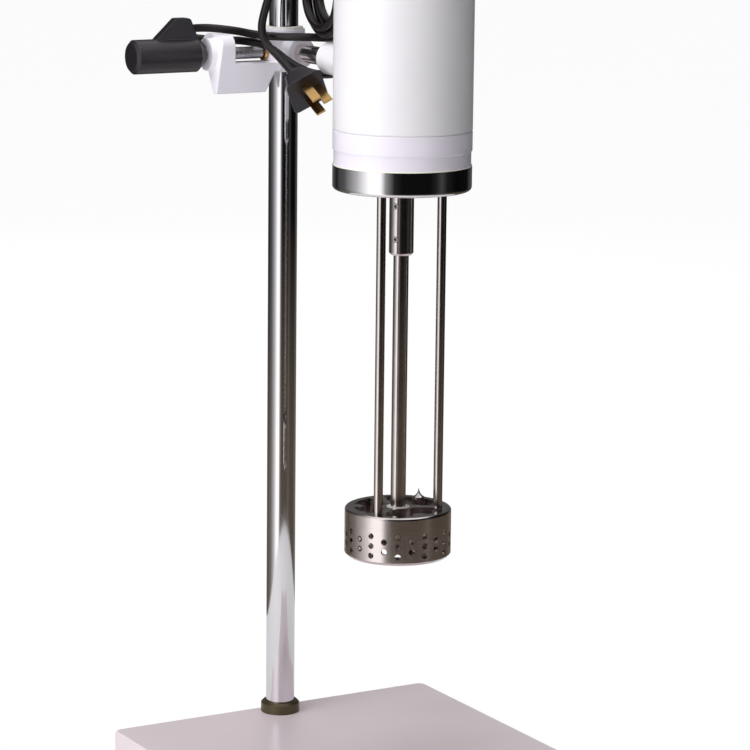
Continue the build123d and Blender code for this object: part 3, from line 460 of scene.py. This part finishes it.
# thread on the visible length of the locking screw
thread_start, thread_end, thread_pitch, thread_radius = 0.0192, 0.0418, 0.0015, 0.00402
steps_per_turn = 16
thread_steps = int((thread_end - thread_start) / thread_pitch * steps_per_turn)
thread_points = []
for k in range(thread_steps + 1):
    a = 2 * math.pi * k / steps_per_turn
    thread_points.append(Vector((-thread_start - thread_pitch * k / steps_per_turn,
                                 column_y + thread_radius * math.cos(a),
                                 clamp_z + thread_radius * math.sin(a))))
thread = round_curve("screw_thread", thread_points, 0.0003, resolution=3, section=2)
thread.data.materials.append(finishes["plain_steel"])
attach(thread, "knob")

bm = bmesh.new()
for k in range(5):
    travel = 0.0085 + 0.0033 * k
    taper = 0.007 - 0.003 * (travel - 0.003) / 0.022
    add_bead(bm, boot_out * (boot_root + travel) + up * boot_z, boot_out, taper - 0.0001, 0.0006, 40)
mesh_piece("boot_ribs", bm, "carriage", "black_rubber")

# a thin bead at the band's edge; its near-white colour is a painted highlight
bm = bmesh.new()
add_bead(bm, Vector((0, 0, band_z + 0.0003)), up, 0.0444, 0.0005, 128)
mesh_piece("ring_rim", bm, "carriage", "white_paint", finish="rim_painted_highlight")

bm = bmesh.new()
dial_centre = Vector((0, -0.022, cap_top))
for k in range(11):
    out = outward(-10 + 20 * k)
    tick_end = 0.0142 if k % 5 == 0 else 0.0134
    add_bar(bm, dial_centre + out * 0.0118, dial_centre + out * tick_end, up, 0.0005, 0.00018, 0.00006)
mesh_piece("dial_scale", bm, "carriage", "dark_plastic")

bm = bmesh.new()
dial_top = dial_centre + up * 0.0143
add_bar(bm, dial_top + Vector((0, 0.003, 0)), dial_top + Vector((0, 0.0096, 0)), up,
        0.0009, 0.0002, 0.00006)
mesh_piece("dial_pointer", bm, "dial", "white_plastic")

bm = bmesh.new()
rocker = Vector((0, 0.020, 0.6327))
add_bar(bm, rocker + Vector((-0.0058, -0.002, 0)), rocker + Vector((-0.0058, 0.002, 0)), up,
        0.0006, 0.0003, 0.0001)
add_bead(bm, rocker + Vector((0.0058, 0, 0.0001)), up, 0.0018, 0.0003, 32)
mesh_piece("rocker_marks", bm, "switch", "white_plastic")

bm = bmesh.new()
tie_head = lead_point(0, hank_y + hank_half + 9, hank_low + 17)
back = Vector((0, 1, 0))
add_bar(bm, tie_head + Vector((-0.0026, 0, 0)), tie_head + Vector((0.0026, 0, 0)), back,
        0.0046, 0.0038, 0.0009)
add_bar(bm, tie_head + Vector((0.002, 0.0012, 0)), tie_head + Vector((0.013, 0.0052, 0)), back,
        0.0036, 0.001, 0.0003)
mesh_piece("tie_head", bm, "carriage", "black_rubber")


# ---------------------------------------------------------------- floor and light
def path_ray(tree, *names):
    """1 for the named kinds of ray, else 0."""
    rays = tree.nodes.new("ShaderNodeLightPath")
    out = rays.outputs[names[0]]
    for name in names[1:]:
        both = tree.nodes.new("ShaderNodeMath")
        both.operation = "MAXIMUM"
        tree.links.new(out, both.inputs[0])
        tree.links.new(rays.outputs[name], both.inputs[1])
        out = both.outputs[0]
    return out


def set_world():
    """A dim world that looks white to the camera and in mirrors."""
    world = bpy.data.worlds.new("studio")
    scene.world = world
    world.use_nodes = True
    tree = world.node_tree
    plain = tree.nodes["Background"]
    plain.inputs["Color"].default_value = (1, 1, 1, 1)
    plain.inputs["Strength"].default_value = 0.035
    white = tree.nodes.new("ShaderNodeBackground")
    white.inputs["Color"].default_value = (1, 1, 1, 1)
    mix = tree.nodes.new("ShaderNodeMixShader")
    tree.links.new(path_ray(tree, "Is Camera Ray", "Is Glossy Ray", "Is Transmission Ray"), mix.inputs["Fac"])
    tree.links.new(plain.outputs[0], mix.inputs[1])
    tree.links.new(white.outputs[0], mix.inputs[2])
    tree.links.new(mix.outputs[0], tree.nodes["World Output"].inputs["Surface"])


def make_floor():
    """A plain floor that is nearly all its own white to the camera and keeps a faint shadow."""
    mesh = bpy.data.meshes.new("floor")
    mesh.from_pydata([(-12, -12, 0), (12, -12, 0), (12, 12, 0), (-12, 12, 0)], [], [(0, 1, 2, 3)])
    floor = link(bpy.data.objects.new("floor", mesh))
    material = bpy.data.materials.new("floor")
    material.use_nodes = True
    tree = material.node_tree
    shader = tree.nodes["Principled BSDF"]
    shader.inputs["Base Color"].default_value = (0.8, 0.8, 0.8, 1)
    shader.inputs["Roughness"].default_value = 0.9
    shader.inputs["Specular IOR Level"].default_value = 0.1
    glow = tree.nodes.new("ShaderNodeEmission")
    glow.inputs["Strength"].default_value = 1.045
    mix = tree.nodes.new("ShaderNodeMixShader")
    part = tree.nodes.new("ShaderNodeMath")
    part.operation = "MULTIPLY"
    part.inputs[1].default_value = 0.92
    tree.links.new(path_ray(tree, "Is Camera Ray", "Is Transmission Ray"), part.inputs[0])
    tree.links.new(part.outputs[0], mix.inputs["Fac"])
    tree.links.new(shader.outputs[0], mix.inputs[1])
    tree.links.new(glow.outputs[0], mix.inputs[2])
    tree.links.new(mix.outputs[0], tree.nodes["Material Output"].inputs["Surface"])
    floor.data.materials.append(material)


def studio_ring(levels, radius, high):
    """A round studio screen seen only in reflections. Levels are (bearing from the camera, sRGB grey)."""
    steps = 96
    mesh = bpy.data.meshes.new("studio_ring")
    points = []
    for k in range(steps):
        a = 2 * math.pi * k / steps
        points.append((radius * math.cos(a), radius * math.sin(a), 0))
        points.append((radius * math.cos(a), radius * math.sin(a), high))
    count = 2 * steps
    faces = [(2 * k, (2 * k + 2) % count, (2 * k + 3) % count, 2 * k + 1) for k in range(steps)]
    mesh.from_pydata(points, [], faces)
    ring = link(bpy.data.objects.new("studio_ring", mesh))
    material = bpy.data.materials.new("studio_ring")
    material.use_nodes = True
    tree = material.node_tree
    tree.nodes.remove(tree.nodes["Principled BSDF"])
    place = tree.nodes.new("ShaderNodeTexCoord")
    around = tree.nodes.new("ShaderNodeTexGradient")
    around.gradient_type = "RADIAL"
    ramp = tree.nodes.new("ShaderNodeValToRGB")
    stops = sorted((((camera_bearing + bearing + 180) % 360) / 360, grey) for bearing, grey in levels)
    elements = ramp.color_ramp.elements
    for element, (position, grey) in ((elements[0], stops[0]), (elements[1], stops[-1])):
        element.position = position
        element.color = linear(grey, grey, grey)
    for position, grey in stops[1:-1]:
        elements.new(position).color = linear(grey, grey, grey)
    glow = tree.nodes.new("ShaderNodeEmission")
    glow.inputs["Strength"].default_value = 1.2
    tree.links.new(place.outputs["Object"], around.inputs["Vector"])
    tree.links.new(around.outputs["Fac"], ramp.inputs["Fac"])
    # the lower part also gives back the warm light of the plate
    parts = tree.nodes.new("ShaderNodeSeparateXYZ")
    low = tree.nodes.new("ShaderNodeMapRange")
    low.inputs["From Min"].default_value = 0.3
    low.inputs["From Max"].default_value = 0.1
    lift = tree.nodes.new("ShaderNodeMix")
    lift.data_type = "RGBA"
    lift.blend_type = "ADD"
    lift.inputs["B"].default_value = linear(74, 66, 56)
    tree.links.new(place.outputs["Object"], parts.inputs[0])
    tree.links.new(parts.outputs["Z"], low.inputs["Value"])
    tree.links.new(low.outputs["Result"], lift.inputs["Factor"])
    tree.links.new(ramp.outputs["Color"], lift.inputs["A"])
    tree.links.new(lift.outputs["Result"], glow.inputs["Color"])
    tree.links.new(glow.outputs[0], tree.nodes["Material Output"].inputs["Surface"])
    mesh.materials.append(material)
    ring.visible_camera = False
    ring.visible_diffuse = False
    ring.visible_shadow = False
    ring.visible_transmission = False
    ring.visible_volume_scatter = False


def soft_lamp(name, bearing, distance, height, width, tall, power, aim=(0, 0.05, 0.36)):
    """A soft box. The bearing goes round the object from +X towards +Y, in degrees."""
    data = bpy.data.lights.new(name, "AREA")
    data.shape = "RECTANGLE"
    data.size = width
    data.size_y = tall
    data.energy = power
    lamp = link(bpy.data.objects.new(name, data))
    place = outward(bearing) * distance + up * height
    lamp.location = place
    lamp.rotation_euler = (Vector(aim) - place).to_track_quat("-Z", "Y").to_euler()
    lamp.visible_glossy = False


set_world()
make_floor()
camera_bearing = math.degrees(math.atan2(camera_place.y, camera_place.x))
soft_lamp("key", camera_bearing - 50, 2.2, 0.95, 1.2, 1.8, 32)
soft_lamp("top", camera_bearing - 60, 0.3, 2.6, 1.6, 1.6, 47)
soft_lamp("front", camera_bearing - 14, 2.4, 0.55, 1.0, 1.0, 11.5)
soft_lamp("back", camera_bearing - 172, 2.4, 1.0, 1.2, 1.2, 10)
studio_ring(
    # bearing from the camera in degrees, and grey
    [(-180, 84), (-150, 70), (-132, 24), (-120, 66), (-106, 76), (-90, 132), (-76, 172), (-59.8, 236),
     (-59.4, 236), (-54, 255), (-34, 255), (-26, 138), (-19, 96), (-12, 34), (0, 14), (45, 12), (56, 30),
     (66, 62), (76, 26), (94, 8), (130, 12), (150, 70)],
    0.5, 0.85)
